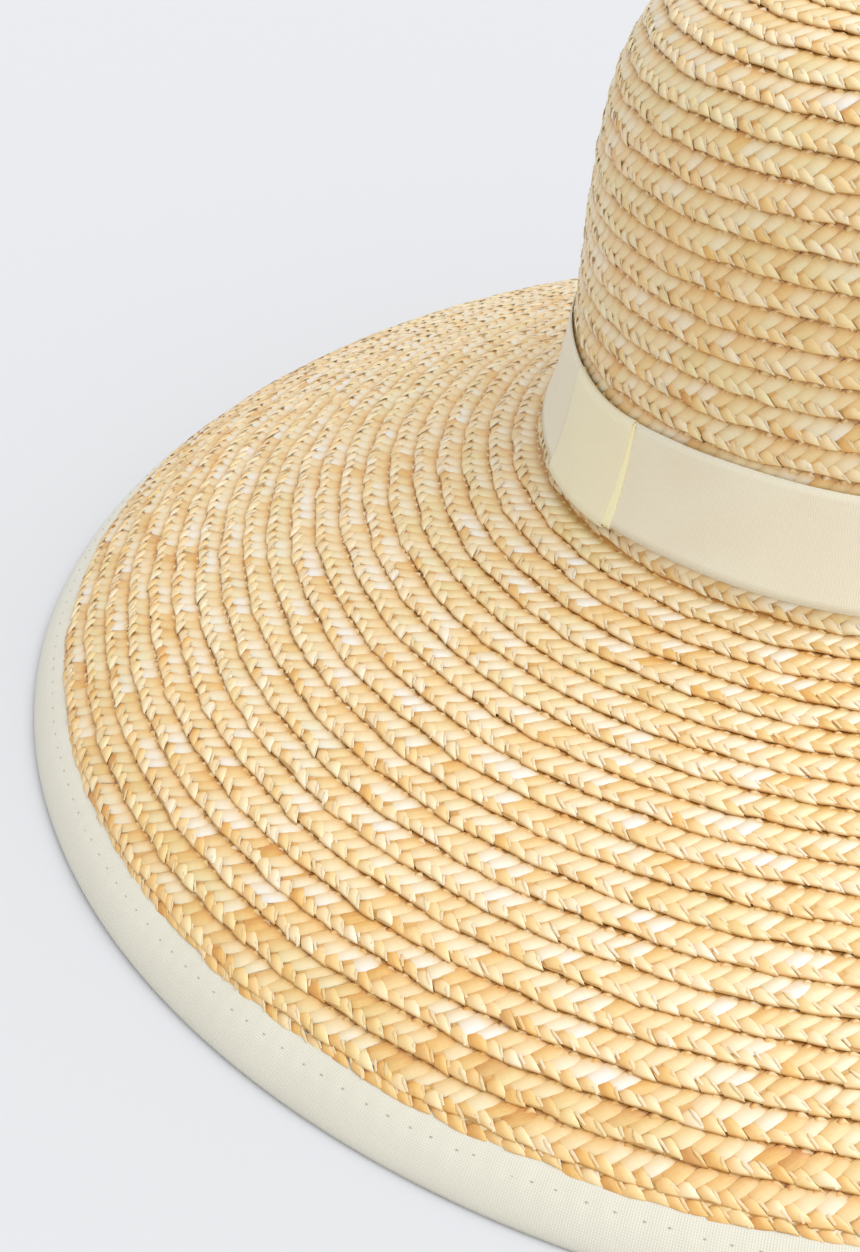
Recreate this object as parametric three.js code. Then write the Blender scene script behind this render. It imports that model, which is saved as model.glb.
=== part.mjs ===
// Wide-brimmed straw sun hat with a ribbon band and a bound brim edge, in millimetres, +Z up.
// The hat stands on the folded ribbon of its rim. The origin is below the middle of the crown, on the rim's plane,
// and the keeper that covers the band's join is at the front left, towards -X and -Y.
import * as THREE from 'three';
import { mergeVertices } from 'three/addons/utils/BufferGeometryUtils.js';

// Head and crown
const headRadius = 93;
const headOval = 4;
const crownHeight = 123;
const crownButtonRadius = 9;
const ovalFadeRadius = 40;

// Brim, measured from the foot of the crown to the fold of the binding
const brimReach = 128.7;
const brimDrop = 59.2;

// Sewn straw plait: each row laps over its neighbour and stands up at its lapping edge
const strawWall = 1.6;
const rowStep = 0.9;
const brimRowPitch = 6.45;
const crownRowPitch = 6.54;
const crownRowStart = 0.63;

// Ribbons: the band round the crown, the keeper over its join, and the folded brim binding
const bandWidth = 26.4;
const bandLift = 4.5;
const bandThickness = 1;
const keeperStart = 209;
const keeperEnd = 227.5;
const keeperThickness = 1;
const bindingWidth = 13.2;
const bindingThickness = 1;
const tongueThickness = 1;
const restFaceWidth = 1.4;

// Fits and fineness
const gap = 0.3;
const columns = 40;
const foldSteps = 4;
const bandSteps = 4;
const wallSteps = 12;

// Side view of the crown's wall, from its foot to the middle of its top
const crownSection = [
  { radius: 1, height: 0 },
  { radius: 0.9775, height: 0.0457 },
  { radius: 0.959, height: 0.0925 },
  { radius: 0.9411, height: 0.156 },
  { radius: 0.9266, height: 0.2366 },
  { radius: 0.9135, height: 0.358 },
  { radius: 0.9012, height: 0.4798 },
  { radius: 0.8842, height: 0.601 },
  { radius: 0.8529, height: 0.7205 },
  { radius: 0.8133, height: 0.7959 },
  { radius: 0.7524, height: 0.8626 },
  { radius: 0.6705, height: 0.915 },
  { radius: 0.5534, height: 0.955 },
  { radius: 0.4, height: 0.98 },
  { radius: 0.2, height: 0.995 },
  { radius: 0, height: 1 },
];

// Side view of the brim, from the foot of the crown to the rim
const brimSection = [
  { reach: 0, drop: 0 },
  { reach: 0.1326, drop: 0.0961 },
  { reach: 0.2674, drop: 0.1773 },
  { reach: 0.4012, drop: 0.2655 },
  { reach: 0.5319, drop: 0.3736 },
  { reach: 0.6611, drop: 0.49 },
  { reach: 0.7887, drop: 0.6144 },
  { reach: 0.9064, drop: 0.7775 },
  { reach: 0.9571, drop: 0.8819 },
  { reach: 1, drop: 1 },
];

const strawMaterial = new THREE.MeshStandardMaterial({ color: 0xdcb979, roughness: 0.55, metalness: 0 });
const ribbonMaterial = new THREE.MeshStandardMaterial({ color: 0xe9e0cc, roughness: 0.8, metalness: 0 });

// A side view as a smooth curve in the (radius, height) plane
function sideCurve(points) {
  const curve = new THREE.CatmullRomCurve3(points.map(([r, z]) => new THREE.Vector3(r, 0, z)), false, 'centripetal');
  curve.arcLengthDivisions = 600;
  return curve;
}

// The point at a distance along a side curve, lifted off it by an offset to its outer side
function sidePoint(curve, distance, offset) {
  const share = THREE.MathUtils.clamp(distance / curve.getLength(), 0, 1);
  const point = curve.getPointAt(share);
  const along = curve.getTangentAt(share);
  const side = curve.outerSide;
  return [point.x + side * offset * along.z, point.z - side * offset * along.x];
}

// The oval widens by the same amount at every radius and turns round towards the middle of the crown's top
function ovalPoint(radius, height, turn) {
  const oval = headOval * Math.min(1, radius / ovalFadeRadius);
  return new THREE.Vector3((radius - oval) * Math.cos(turn), (radius + oval) * Math.sin(turn), height);
}

// All pieces share the same facets round the hat, so that the gap between two of them is even
function facetPoint(radius, height, turn) {
  const step = 2 * Math.PI / columns;
  const before = Math.floor(turn / step + 1e-9) * step;
  const share = (turn - before) / step;
  const start = ovalPoint(radius, height, before);
  return share < 1e-9 ? start : start.lerp(ovalPoint(radius, height, before + step), share);
}

// A closed solid from a grid of points: each row of the grid is one outline, and the rows follow each other
function solidFromOutlines(outlines, closedLoop) {
  const size = outlines[0].length;
  const positions = outlines.flat().flatMap((point) => point.toArray());
  const triangles = [];
  const last = closedLoop ? outlines.length : outlines.length - 1;
  for (let i = 0; i < last; i += 1) {
    for (let j = 0; j < size; j += 1) {
      const a = i * size + j;
      const b = i * size + (j + 1) % size;
      const c = ((i + 1) % outlines.length) * size + j;
      const d = ((i + 1) % outlines.length) * size + (j + 1) % size;
      triangles.push([a, c, b], [b, c, d]);
    }
  }
  if (!closedLoop) {
    const flat = outlines[0].map((point) => point.clone().sub(outlines[0][0]));
    const axis = outlines[1][0].clone().sub(outlines[0][0]).normalize();
    const right = flat[1].clone().projectOnPlane(axis).normalize();
    const up = axis.clone().cross(right);
    const shape = flat.map((point) => new THREE.Vector2(point.dot(right), point.dot(up)));
    const shapeTurn = Math.sign(THREE.ShapeUtils.area(shape));
    const end = (outlines.length - 1) * size;
    for (const cap of THREE.ShapeUtils.triangulateShape(shape, [])) {
      const sameTurn = Math.sign(THREE.ShapeUtils.area(cap.map((i) => shape[i]))) === shapeTurn;
      const [a, b, c] = sameTurn ? cap : [cap[0], cap[2], cap[1]];
      triangles.push([a, b, c], [end + a, end + c, end + b]);
    }
  }
  return mergedSolid(positions, triangles);
}

// Joins the points that coincide, drops the triangles that this closes up, and turns every face outwards
function mergedSolid(positions, triangles) {
  const grid = new THREE.BufferGeometry();
  grid.setAttribute('position', new THREE.Float32BufferAttribute(positions, 3));
  grid.setIndex(triangles.flat());
  const merged = mergeVertices(grid, 1e-4);
  const index = Array.from(merged.index.array);
  const corner = (i) => new THREE.Vector3().fromBufferAttribute(merged.attributes.position, i);
  const kept = [];
  let volume = 0;
  for (let i = 0; i < index.length; i += 3) {
    const [a, b, c] = index.slice(i, i + 3);
    if (a !== b && b !== c && c !== a) {
      kept.push([a, b, c]);
      volume += corner(a).dot(corner(b).cross(corner(c)));
    }
  }
  merged.setIndex(kept.flatMap(([a, b, c]) => (volume > 0 ? [a, b, c] : [a, c, b])));
  merged.computeVertexNormals();
  return merged;
}

// A section turned once round the oval
function turnedSolid(section) {
  const turns = Array.from({ length: columns }, (_, k) => 2 * Math.PI * k / columns);
  return solidFromOutlines(turns.map((turn) => section.map(([r, z]) => ovalPoint(r, z, turn))), true);
}

// A section turned through part of the oval, with closed ends
function partTurnedSolid(section, start, end) {
  const step = 2 * Math.PI / columns;
  const turns = [start];
  for (let k = Math.ceil(start / step + 1e-6); k * step < end - 1e-6; k += 1) {
    turns.push(k * step);
  }
  turns.push(end);
  return solidFromOutlines(turns.map((turn) => section.map(([r, z]) => facetPoint(r, z, turn))), false);
}

function mesh(name, geometry, material) {
  const piece = new THREE.Mesh(geometry, material);
  piece.name = name;
  return piece;
}

const brimCurve = sideCurve(brimSection.map((row) => [headRadius + row.reach * brimReach, -row.drop * brimDrop]));
brimCurve.outerSide = -1;
const crownCurve = sideCurve(crownSection.map((row) => [row.radius * headRadius, row.height * crownHeight]));
crownCurve.outerSide = 1;
const brimLength = brimCurve.getLength();
const crownLength = crownCurve.getLength();
const onBrim = (distance, offset) => sidePoint(brimCurve, distance, offset);
const onCrown = (distance, offset) => sidePoint(crownCurve, distance, offset);

// The binding is a ribbon folded over the thin outer tongue of the brim
const bindingStart = brimLength - bindingWidth;
const tongueMiddle = (rowStep - strawWall) / 2;
const bindingInside = tongueThickness / 2 + gap;
const bindingOutside = bindingInside + bindingThickness;
const tongueEnd = brimLength - bindingOutside;

function bindingSection() {
  const upper = [bindingStart, (bindingStart + tongueEnd) / 2].map((s) => onBrim(s, tongueMiddle + bindingOutside));
  const lower = [(bindingStart + tongueEnd) / 2, bindingStart].map((s) => onBrim(s, tongueMiddle - bindingOutside));
  const fold = [];
  for (let k = 0; k <= foldSteps; k += 1) {
    const turn = Math.PI / 2 - Math.PI * k / foldSteps;
    const distance = tongueEnd + bindingOutside * Math.cos(turn);
    fold.push(onBrim(distance, tongueMiddle + bindingOutside * Math.sin(turn)));
  }
  const inner = [
    onBrim(bindingStart, tongueMiddle - bindingInside),
    onBrim((bindingStart + tongueEnd) / 2, tongueMiddle - bindingInside),
    onBrim(tongueEnd + gap, tongueMiddle - bindingInside),
    onBrim(tongueEnd + gap, tongueMiddle + bindingInside),
    onBrim((bindingStart + tongueEnd) / 2, tongueMiddle + bindingInside),
    onBrim(bindingStart, tongueMiddle + bindingInside),
  ];
  return flattenedBelow([...upper, ...fold, ...lower, ...inner], restFaceWidth);
}

// Replaces the lowest corner of a section by a level face of the given width
function flattenedBelow(section, width) {
  const lowest = section.reduce((best, point, i) => (point[1] < section[best][1] ? i : best), 0);
  const corner = section[lowest];
  const before = section[lowest - 1];
  const after = section[lowest + 1];
  const runBefore = (before[0] - corner[0]) / (before[1] - corner[1]);
  const runAfter = (after[0] - corner[0]) / (after[1] - corner[1]);
  const rise = width / Math.abs(runBefore - runAfter);
  const level = [
    [corner[0] + rise * runBefore, corner[1] + rise],
    [corner[0] + rise * runAfter, corner[1] + rise],
  ];
  return [...section.slice(0, lowest), ...level, ...section.slice(lowest + 1)];
}

// Rows rise to their outer edge, where they lap over the next row out
function brimOutline() {
  const outline = [[headRadius - strawWall, 0], onBrim(0, 0)];
  const shoulder = bindingStart - gap;
  for (let edge = brimRowPitch; edge < shoulder - brimRowPitch / 4; edge += brimRowPitch) {
    outline.push(onBrim(edge, rowStep), onBrim(edge, 0));
  }
  outline.push(onBrim(shoulder, rowStep / 3));
  outline.push(onBrim(shoulder, tongueMiddle + tongueThickness / 2));
  outline.push(onBrim(tongueEnd, tongueMiddle + tongueThickness / 2));
  outline.push(onBrim(tongueEnd, tongueMiddle - tongueThickness / 2));
  outline.push(onBrim(shoulder, tongueMiddle - tongueThickness / 2));
  for (let k = wallSteps; k >= 0; k -= 1) {
    outline.push(onBrim(shoulder * k / wallSteps, -strawWall));
  }
  outline.push([headRadius - strawWall, outline[outline.length - 1][1]]);
  return outline;
}

// Distances up the crown's wall at which the band, the keeper and the wall behind them bend together
const bandStations = Array.from({ length: bandSteps + 1 }, (_, k) => bandLift + bandWidth * k / bandSteps);

// Rows stand up at their lower edge, where they lap over the row below; the ones behind the band are left plain
function crownOutline() {
  const hiddenRows = Math.floor((bandLift + bandWidth - crownRowStart) / crownRowPitch);
  const firstRow = crownRowStart + hiddenRows * crownRowPitch;
  const outline = [[headRadius + rowStep / 2, gap]];
  for (const station of bandStations.filter((u) => u < firstRow)) {
    outline.push(onCrown(station, rowStep / 2));
  }
  outline.push(onCrown(firstRow, rowStep / 2));
  for (let edge = firstRow + crownRowPitch; edge < crownLength - crownButtonRadius; edge += crownRowPitch) {
    outline.push(onCrown(edge, 0), onCrown(edge, rowStep));
  }
  outline.push([0, crownHeight + rowStep / 2]);
  for (let k = wallSteps; k > 0; k -= 1) {
    const [radius, height] = onCrown(crownLength * k / wallSteps, -strawWall);
    outline.push([Math.max(radius, 0), height]);
  }
  outline.push([headRadius - strawWall, gap]);
  return outline;
}

// The band lies on the edges of the crown's rows, and the keeper laps over both of its edges
const bandInside = rowStep + gap;
const bandOutside = bandInside + bandThickness;
const keeperInside = bandOutside + gap;
const keeperOutside = keeperInside + keeperThickness;

function bandSection() {
  const outside = bandStations.map((u) => onCrown(u, bandOutside));
  const inside = bandStations.map((u) => onCrown(u, bandInside));
  return [...outside, ...inside.reverse()];
}

function keeperSection() {
  const low = bandLift - gap;
  const high = bandLift + bandWidth + gap;
  const between = bandStations.slice(1, -1);
  const outside = [low - keeperThickness, ...between, high + keeperThickness].map((u) => onCrown(u, keeperOutside));
  const inside = [low, ...between, high].map((u) => onCrown(u, keeperInside));
  return [
    onCrown(low - keeperThickness, bandInside),
    ...outside,
    onCrown(high + keeperThickness, bandInside),
    onCrown(high, bandInside),
    ...inside.reverse(),
    onCrown(low, bandInside),
  ];
}

// The whole hat is lifted so that the level face under the binding lies at height 0
const binding = bindingSection();
const lift = -Math.min(...binding.map(([, z]) => z));
const lifted = (section) => section.map(([r, z]) => [r, z + lift]);
const degree = Math.PI / 180;

const hat = new THREE.Group();
hat.add(mesh('crown', turnedSolid(lifted(crownOutline())), strawMaterial));
hat.add(mesh('brim', turnedSolid(lifted(brimOutline())), strawMaterial));
hat.add(mesh('hat_band', turnedSolid(lifted(bandSection())), ribbonMaterial));
const keeper = partTurnedSolid(lifted(keeperSection()), keeperStart * degree, keeperEnd * degree);
hat.add(mesh('band_keeper', keeper, ribbonMaterial));
hat.add(mesh('brim_binding', turnedSolid(lifted(binding)), ribbonMaterial));

export default hat;
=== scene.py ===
# %% [markdown]
# # A straw sun hat, step by step
# This lesson dresses a packed construction model of a wide straw hat. The model already holds the true
# sizes: a crown, a brim, a ribbon band with its keeper, and a ribbon folded over the brim's edge. Here
# each of them gets its real surface. The straw is made strand by strand along one long spiral, as a hat
# maker sews it. All sizes are in millimetres, and one factor turns them into Blender's metres.

# %% Load the frame
import math
import bpy
import numpy as np
from mathutils import Matrix, Vector


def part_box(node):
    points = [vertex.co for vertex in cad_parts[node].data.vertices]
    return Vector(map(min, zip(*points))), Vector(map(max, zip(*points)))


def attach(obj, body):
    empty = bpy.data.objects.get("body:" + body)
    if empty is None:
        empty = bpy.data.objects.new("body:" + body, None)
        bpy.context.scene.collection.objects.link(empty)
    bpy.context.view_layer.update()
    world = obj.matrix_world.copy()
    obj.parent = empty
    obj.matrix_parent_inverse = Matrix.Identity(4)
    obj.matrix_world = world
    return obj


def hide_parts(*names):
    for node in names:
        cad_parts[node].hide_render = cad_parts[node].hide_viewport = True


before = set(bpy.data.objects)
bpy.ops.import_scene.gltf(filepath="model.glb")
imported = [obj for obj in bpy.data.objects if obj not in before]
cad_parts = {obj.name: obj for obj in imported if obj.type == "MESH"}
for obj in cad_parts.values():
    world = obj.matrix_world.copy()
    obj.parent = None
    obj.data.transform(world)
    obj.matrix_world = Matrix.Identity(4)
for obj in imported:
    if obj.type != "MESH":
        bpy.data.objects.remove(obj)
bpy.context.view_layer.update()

MM = 0.001

# %% [markdown]
# ## The hat's form
# The real hat is one plait sewn round and round from the middle of the crown out to the rim. So the whole
# surface follows from one side view: a line that starts at the crown's middle, comes down its side and
# goes out along the brim. The two tables below hold shares of a few named sizes. They could be traced as
# free curves, but shares keep the form when a size changes.

# %% Named sizes in millimetres
HEAD_RADIUS = 93.0
HEAD_OVAL = 4.0
OVAL_FADE_RADIUS = 40.0
CROWN_HEIGHT = 123.0
BRIM_REACH = 128.7
BRIM_DROP = 59.2
GAP = 0.3
SMALL_STEP = GAP * 0.01
FOOT_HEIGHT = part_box("crown")[0][2] / MM - GAP
CROWN_SHARES = [
    (1, 0), (0.9775, 0.0457), (0.959, 0.0925), (0.9411, 0.156), (0.9266, 0.2366), (0.9135, 0.358),
    (0.9012, 0.4798), (0.8842, 0.601), (0.8529, 0.7205), (0.8133, 0.7959), (0.7524, 0.8626),
    (0.6705, 0.915), (0.5534, 0.955), (0.4, 0.98), (0.2, 0.995), (0, 1),
]
BRIM_SHARES = [
    (0, 0), (0.1326, 0.0961), (0.2674, 0.1773), (0.4012, 0.2655), (0.5319, 0.3736),
    (0.6611, 0.49), (0.7887, 0.6144), (0.9064, 0.7775), (0.9571, 0.8819), (1, 1),
]
print("the crown's foot lies", round(FOOT_HEIGHT, 2), "mm above the floor")


# %% The side view as a smooth line
def smooth_line(points, steps=60):
    """A centripetal Catmull-Rom line through the points, evenly fine between each pair."""
    points = np.array(points, float)
    points = np.vstack([2 * points[0] - points[1], points, 2 * points[-1] - points[-2]])
    share = np.linspace(0, 1, steps, endpoint=False)[:, None]
    spans = []
    for before, start, end, after in zip(points, points[1:], points[2:], points[3:]):
        pairs = ((before, start), (start, end), (end, after))
        d0, d1, d2 = (math.sqrt(np.linalg.norm(b - a)) for a, b in pairs)
        leave = d1 * ((start - before) / d0 - (end - before) / (d0 + d1) + (end - start) / d1)
        arrive = d1 * ((end - start) / d1 - (after - start) / (d1 + d2) + (after - end) / d2)
        square = -3 * start + 3 * end - 2 * leave - arrive
        cube = 2 * start - 2 * end + leave + arrive
        spans.append(start + leave * share + square * share ** 2 + cube * share ** 3)
    return np.vstack(spans + [points[-2:-1]])


def length_along(line):
    """The way along a line to each of its points."""
    return np.concatenate([[0], np.cumsum(np.linalg.norm(np.diff(line, axis=0), axis=1))])


crown_line = smooth_line([(r * HEAD_RADIUS, z * CROWN_HEIGHT) for r, z in CROWN_SHARES])[::-1]
brim_line = smooth_line([(HEAD_RADIUS + r * BRIM_REACH, -z * BRIM_DROP) for r, z in BRIM_SHARES])
CROWN_LENGTH = length_along(crown_line)[-1]
BRIM_LENGTH = length_along(brim_line)[-1]
side_line = np.vstack([crown_line, brim_line])
side_way = np.concatenate([length_along(crown_line), CROWN_LENGTH + SMALL_STEP + length_along(brim_line)])
side_slope = np.vstack([np.gradient(crown_line, axis=0), np.gradient(brim_line, axis=0)])
side_slope /= np.linalg.norm(side_slope, axis=1)[:, None]
print("side view: crown", round(CROWN_LENGTH, 1), "mm, brim", round(BRIM_LENGTH, 1), "mm")


# %% From the side view to the round hat
def on_hat(way, angle, lift):
    """Points on the hat, in mm: way from the crown's middle, angle round it, lift off the wall's face."""
    radius = np.interp(way, side_way, side_line[:, 0])
    height = np.interp(way, side_way, side_line[:, 1])
    run = np.interp(way, side_way, side_slope[:, 0])
    fall = np.interp(way, side_way, side_slope[:, 1])
    past = np.maximum(way - side_way[-1], 0)
    radius = np.maximum(radius - lift * fall + past * run, 0)
    height = height + lift * run + past * fall + FOOT_HEIGHT
    oval = HEAD_OVAL * np.minimum(1, radius / OVAL_FADE_RADIUS)
    x = (radius - oval) * np.cos(angle)
    y = (radius + oval) * np.sin(angle)
    return np.stack([x, y, height + 0 * x], axis=-1)


# %% [markdown]
# ## The camera
# The hat was photographed from close by, a little above the brim, with the hat to the right of the
# picture. The values say where the camera stood from the crown's foot, and which way it looked.

# %% Camera
VIEW_DISTANCE = 525.4
VIEW_ELEVATION = 26.31
LOOK_LEFT = 14.41
LOOK_DOWN = 32.46
LOOK_ROLL = 0.37
FOCAL_PIXELS = 2044.2
PICTURE_HEIGHT = 1252
SENSOR_HEIGHT = 36.0


def add_camera():
    rise, left, down, roll = (math.radians(a) for a in (VIEW_ELEVATION, LOOK_LEFT, LOOK_DOWN, LOOK_ROLL))
    place = Vector((0, -math.cos(rise), math.sin(rise))) * VIEW_DISTANCE + Vector((0, 0, FOOT_HEIGHT))
    ahead = Vector((-math.sin(left) * math.cos(down), math.cos(left) * math.cos(down), -math.sin(down)))
    right = ahead.cross(Vector((0, 0, 1))).normalized()
    up = right.cross(ahead)
    turned_right = right * math.cos(roll) + up * math.sin(roll)
    turned_up = up * math.cos(roll) - right * math.sin(roll)
    data = bpy.data.cameras.new("camera")
    data.sensor_fit = "VERTICAL"
    data.sensor_height = SENSOR_HEIGHT
    data.lens = FOCAL_PIXELS * SENSOR_HEIGHT / PICTURE_HEIGHT
    data.clip_start = 0.01
    camera = bpy.data.objects.new("camera", data)
    axes = Matrix((turned_right, turned_up, -ahead)).transposed()
    camera.matrix_world = Matrix.Translation(place * MM) @ axes.to_4x4()
    bpy.context.scene.collection.objects.link(camera)
    bpy.context.scene.camera = camera
    print("camera at", [round(v * MM, 3) for v in place], "with a lens of", round(data.lens, 1), "mm")


add_camera()

# %% [markdown]
# ## The spiral of plait
# A sewn straw hat is one flat plait of seven strands, about nine millimetres wide. Each turn laps over the
# next turn out by about a quarter, so six and a half millimetres of every row show. Its outer edge stands
# up and throws the thin dark line between the rows. Rings would be simpler, but only a spiral shows how
# each row slides outwards as it goes round. Turns are counted from the crown's foot: below zero on the
# crown and above zero on the brim. The last turn stops going outwards and tapers away under the one before
# it.

# %% Rows along the spiral
ROW_WIDTH = 6.45
ROW_STEP = 0.65
PLAIT_HIDDEN = 2.2
CROWN_ROW_START = -0.64
CROWN_PITCH = 6.545
BRIM_ROW_START = -0.03
BRIM_PITCH = 6.446
LAST_EDGE = 131.3
LAST_TURN = 21.25
TUCK_DEPTH = 0.4
CENTRE_RADIUS = 5.0
SPIRAL_STEPS = 6000
FIRST_ANGLE = math.radians(270)
FIRST_TURN = -(CROWN_LENGTH + CROWN_ROW_START - CENTRE_RADIUS) / CROWN_PITCH
edge_turns = [FIRST_TURN - 5, -1, 1, 40]
edge_ways = [CROWN_ROW_START + CROWN_PITCH * t for t in edge_turns[:2]]
edge_ways += [BRIM_ROW_START + BRIM_PITCH * t for t in edge_turns[2:]]


def row_edge(turns):
    """How far the outer edge of the row has come from the crown's middle, in mm."""
    return CROWN_LENGTH + np.minimum(np.interp(turns, edge_turns, edge_ways), LAST_EDGE)


def row_tuck(turns):
    """How far the end of the plait sinks under the turn before it."""
    past = np.interp(turns, edge_turns, edge_ways) - LAST_EDGE
    return TUCK_DEPTH * np.clip(past / ROW_WIDTH, 0, 1)


turn_steps = np.linspace(FIRST_TURN, LAST_TURN, SPIRAL_STEPS)
turn_radius = np.interp(row_edge(turn_steps) - ROW_WIDTH / 2, side_way, side_line[:, 0])
step_length = np.diff(turn_steps) * 2 * math.pi * (turn_radius[1:] + turn_radius[:-1]) / 2
plait_way = np.concatenate([[0], np.cumsum(step_length)])
print("the plait is", round(plait_way[-1] / 1000, 1), "m long in", round(LAST_TURN - FIRST_TURN, 1), "turns")

# %% [markdown]
# ## Places on the plait
# A hand guides the plait through the machine, so its edge wanders by a few tenths of a millimetre. Two
# small tables of waves do that: each row holds a size, a length and a start. With them one function turns
# a place on the plait into a place on the hat, and every straw is made through it.

# %% From the plait to the hat
LEAST_RADIUS = 4.0
EDGE_WAVES = [(0.22, 47.0, 0.3), (0.2, 23.0, 1.9), (0.15, 11.3, 4.1)]
LIFT_WAVES = [(0.07, 61.0, 2.2), (0.05, 17.0, 5.0)]


def waves(way, rows):
    """The sum of a few sine waves along the plait."""
    return sum(size * np.sin(2 * math.pi * way / length + start) for size, length, start in rows)


def on_plait(turns, right, out, lift):
    """Points on the plait, in mm: right along the row, out from its inner seam, lift off the row's face."""
    radius = np.interp(row_edge(turns) - ROW_WIDTH / 2, side_way, side_line[:, 0])
    here = turns - right / (2 * math.pi * np.maximum(radius, LEAST_RADIUS))
    way = np.interp(here, turn_steps, plait_way)
    out = out + waves(way, EDGE_WAVES) * np.clip(out / ROW_WIDTH, 0, 1)
    lift = lift + waves(way, LIFT_WAVES) - row_tuck(here) + ROW_STEP * out / ROW_WIDTH
    return on_hat(row_edge(here) - ROW_WIDTH + out, FIRST_ANGLE - 2 * math.pi * here, lift)


print("the edge of a row wanders by up to", round(sum(size for size, length, start in EDGE_WAVES), 2), "mm")

# %% [markdown]
# ## Meshes from arrays
# Thousands of strands share a few small grids of points. Numpy fills in all the points at once, and one
# function hands them to Blender with the values that the materials read.

# %% Mesh helpers
def grid_faces(rows, columns):
    """Quads of a grid of points stored row by row."""
    start = (np.arange(rows - 1)[:, None] * columns + np.arange(columns - 1)[None]).reshape(-1, 1)
    return start + np.array([0, columns, columns + 1, 1])[None]


def tube_faces(rows, columns, closed):
    """Quads of rows of points, each a closed outline. The rows close into a ring, or both ends get a cap."""
    count = rows if closed else rows - 1
    i, j = (a.reshape(-1) for a in np.meshgrid(np.arange(count), np.arange(columns), indexing="ij"))
    next_i = (i + 1) % rows
    next_j = (j + 1) % columns
    corners = [i * columns + j, next_i * columns + j, next_i * columns + next_j, i * columns + next_j]
    sides = np.stack(corners, axis=1)
    if closed:
        return sides
    k = np.arange(columns // 2 - 1)
    cap = np.stack([k, k + 1, columns - 2 - k, columns - 1 - k], axis=1)
    return np.vstack([sides, cap, cap[:, ::-1] + (rows - 1) * columns])


def facing_out(points, quads):
    """The quads of a closed body, turned over if they face in."""
    a, b, c, d = (points.reshape(-1, 3)[quads[:, k]] for k in range(4))
    volume = (np.cross(b - a, c - a) * a).sum() + (np.cross(c - a, d - a) * a).sum()
    return quads if volume > 0 else quads[:, ::-1]


def new_piece(name, points, quads, values, material):
    """One object from points in mm, quads, and named values for each point."""
    mesh = bpy.data.meshes.new(name)
    points = points.reshape(-1, 3)
    mesh.vertices.add(len(points))
    mesh.vertices.foreach_set("co", (points * MM).astype(np.float32).ravel())
    mesh.loops.add(quads.size)
    mesh.loops.foreach_set("vertex_index", quads.astype(np.int32).ravel())
    mesh.polygons.add(len(quads))
    mesh.polygons.foreach_set("loop_start", np.arange(len(quads), dtype=np.int32) * 4)
    mesh.update(calc_edges=True)
    mesh.shade_smooth()
    for key, value in values.items():
        wide = value.size == 3 * len(points)
        layer = mesh.attributes.new(key, "FLOAT_VECTOR" if wide else "FLOAT", "POINT")
        layer.data.foreach_set("vector" if wide else "value", value.astype(np.float32).ravel())
    mesh.materials.append(material)
    piece = bpy.data.objects.new(name, mesh)
    bpy.context.scene.collection.objects.link(piece)
    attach(piece, "root")
    print(name, "has", 2 * len(quads), "triangles")
    return piece


# %% [markdown]
# ## Materials
# Wheat straw is a flattened hollow stem. Its outside has a hard waxy skin that shines softly, which is the
# coat here, and fine fibres run along it. Strands differ in colour from deep gold to nearly white, and a
# strand keeps its colour for the length of one stem. A picture could give that, but the strands are real
# meshes, so each point carries a tone and the material turns it into a colour. A second value, the painted
# shade, darkens the folds, the seams and the shaded sides of the floats with a painted brown shade, and a
# third one gives some straws their greenish tint.

# %% Colour and node helpers
def linear(hex_colour):
    """An sRGB hex colour as a linear RGBA value."""
    parts = [int(hex_colour[i:i + 2], 16) / 255 for i in (1, 3, 5)]
    return tuple(c / 12.92 if c <= 0.04045 else ((c + 0.055) / 1.055) ** 2.4 for c in parts) + (1.0,)


def add_node(tree, kind, settings=None, values=None, links=None):
    """A node of one kind with its settings, its input values and its inputs' links."""
    node = tree.nodes.new(kind)
    for key, value in (settings or {}).items():
        setattr(node, key, value)
    for key, value in (values or {}).items():
        node.inputs[key].default_value = value
    for key, socket in (links or {}).items():
        tree.links.new(socket, node.inputs[key])
    return node


def set_stops(stops, colours):
    """Gives a ramp its colours from (place, hex colour) pairs."""
    while len(stops) < len(colours):
        stops.new(0.5)
    for stop, (place, colour) in zip(stops, colours):
        stop.position = place
        stop.color = linear(colour)


def new_material(name):
    """An empty material and its node tree."""
    material = bpy.data.materials.new(name)
    material.use_nodes = True
    material.node_tree.nodes.clear()
    return material, material.node_tree


# %% Split wheat straw, plaited and sewn
STRAW_TONES = [
    (0.0, "#C88D3E"), (0.2, "#E1B86B"), (0.4, "#E9D09A"),
    (0.6, "#ECDDB8"), (0.78, "#EDE4CC"), (1.0, "#ECEAE3"),
]
# Painted shade: white where a straw lies open, through golden brown in folds to dark brown in the seams.
STRAW_PAINTED_SHADES = [(0.0, "#FFFFFF"), (0.45, "#E6C698"), (0.75, "#BA8546"), (1.0, "#5E3412")]
STRAW_GREEN = "#E2DDAA"
GREEN_SHARE = 0.4
FIBRE_SPACING = 0.16
FIBRE_LENGTH = 4.0
FIBRE_RELIEF = 0.06
BLOTCH_SIZE = 5 / 3
STREAK_SIZE = 0.26
BLOTCH_SHARE = 0.16


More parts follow.
